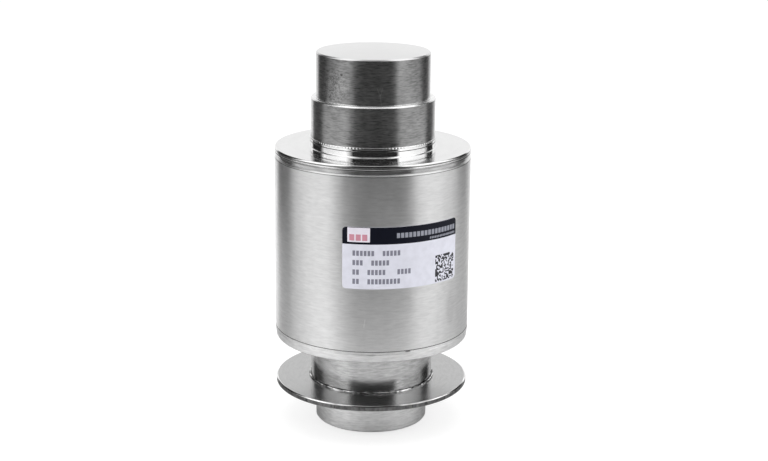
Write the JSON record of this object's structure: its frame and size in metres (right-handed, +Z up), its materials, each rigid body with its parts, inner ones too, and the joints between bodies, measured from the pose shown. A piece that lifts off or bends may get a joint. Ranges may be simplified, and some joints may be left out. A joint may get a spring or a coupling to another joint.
{
  "type": "column load cell",
  "caption": "Upright column load cell: crowned spigots at both ends, a welded round gauge housing with a label, a disc on the lower spigot and a cable gland at the back.",
  "frame": {"origin": "lowest point of the lower crown, on the column's axis", "axes": "+Z up along the column to the loaded crown, the label at the front (-Y), the cable gland at the back (+Y)"},
  "size_m": [0.076, 0.0991, 0.15],
  "materials": {
    "turned_steel": "fine turned",
    "brushed_steel": "brushed round the axis",
    "polished_steel": "mirror polished",
    "satin_steel": "satin",
    "label_film": "printed film, satin",
    "gauge_film": "amber film with dull foil",
    "terminal_strip": "glass-epoxy strip",
    "resistor_foil": "foil on film",
    "board": "green solder mask",
    "chip": "black glaze",
    "fixing_steel": "bright zinc",
    "wire_red": "insulation",
    "wire_black": "insulation",
    "wire_green": "insulation",
    "wire_white": "insulation",
    "feedthrough_glass": "sealing glass",
    "pin_metal": "gold plated",
    "gland_steel": "turned and milled",
    "black_rubber": "matt"
  },
  "bodies": {
    "root": {"column": "turned_steel", "top_plate": "polished_steel", "top_ring": "satin_steel", "housing_tube": "brushed_steel", "bottom_cover": "satin_steel", "base_disc": "satin_steel", "label": "label_film", "bridge_board": "board", "board_standoffs": "fixing_steel", "board_screws": "fixing_steel", "trim_resistors": "chip", "cable_boss": "satin_steel", "feedthrough_shell": "fixing_steel", "feedthrough_glass": "feedthrough_glass", "feedthrough_pins": "pin_metal", "gland_seal": "black_rubber", "gland_body": "gland_steel", "gland_grommet": "black_rubber", "gland_clamp_ring": "gland_steel", "gland_nut": "gland_steel", "signal_lead_1": "wire_red", "signal_lead_2": "wire_black", "signal_lead_3": "wire_green", "signal_lead_4": "wire_white", "span_resistor_1": "resistor_foil", "span_resistor_2": "resistor_foil", "strain_gauge_1": "gauge_film", "terminal_strip_1": "terminal_strip", "gauge_ribbon_1": "gauge_film", "strain_gauge_2": "gauge_film", "terminal_strip_2": "terminal_strip", "gauge_ribbon_2": "gauge_film", "strain_gauge_3": "gauge_film", "terminal_strip_3": "terminal_strip", "gauge_ribbon_3": "gauge_film", "strain_gauge_4": "gauge_film", "terminal_strip_4": "terminal_strip", "gauge_ribbon_4": "gauge_film"}
  },
  "joints": []
}
